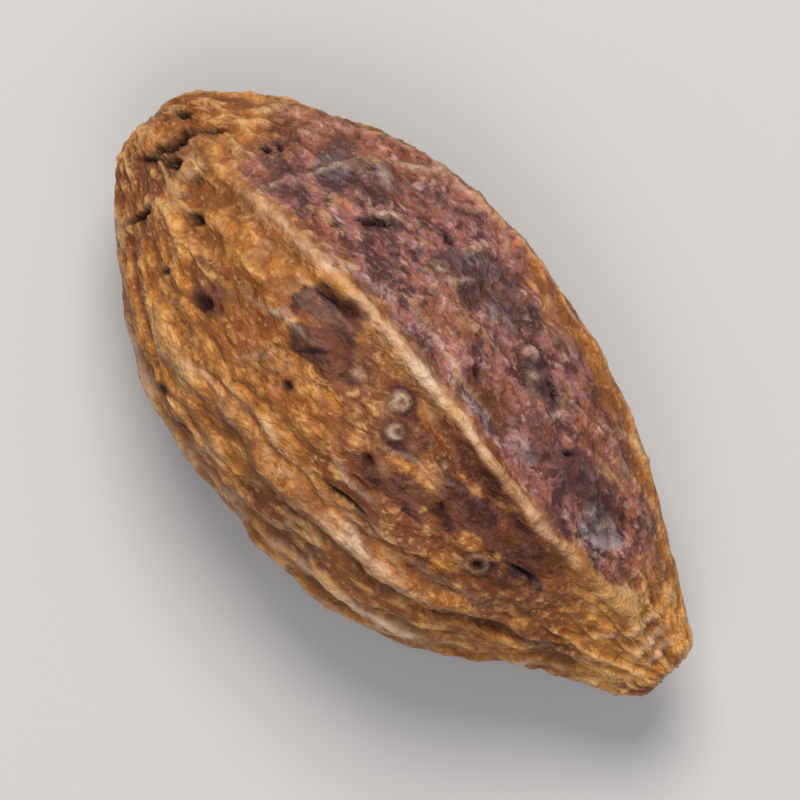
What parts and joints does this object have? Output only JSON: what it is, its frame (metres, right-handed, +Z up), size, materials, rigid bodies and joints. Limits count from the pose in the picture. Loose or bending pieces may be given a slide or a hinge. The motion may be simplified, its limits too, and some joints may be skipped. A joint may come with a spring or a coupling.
{
  "type": "chebulic myrobalan",
  "caption": "Dried almond-shaped fruit, blunt at one end and drawn out to a cut stalk scar at the other, with lengthwise ribs and shrunken, wrinkled panels; rests on a small flat spot.",
  "frame": {"origin": "middle of the bounding box's base, on the surface that the fruit lies on", "axes": "+X along the fruit from the blunt end to the stalk end, +Y across it, +Z up"},
  "size_m": [0.0362, 0.019, 0.0174],
  "materials": {
    "fruit_skin": "dried fruit skin, golden brown to purple-brown, faintly waxy"
  },
  "bodies": {
    "root": {"fruit": "fruit_skin"}
  },
  "joints": []
}
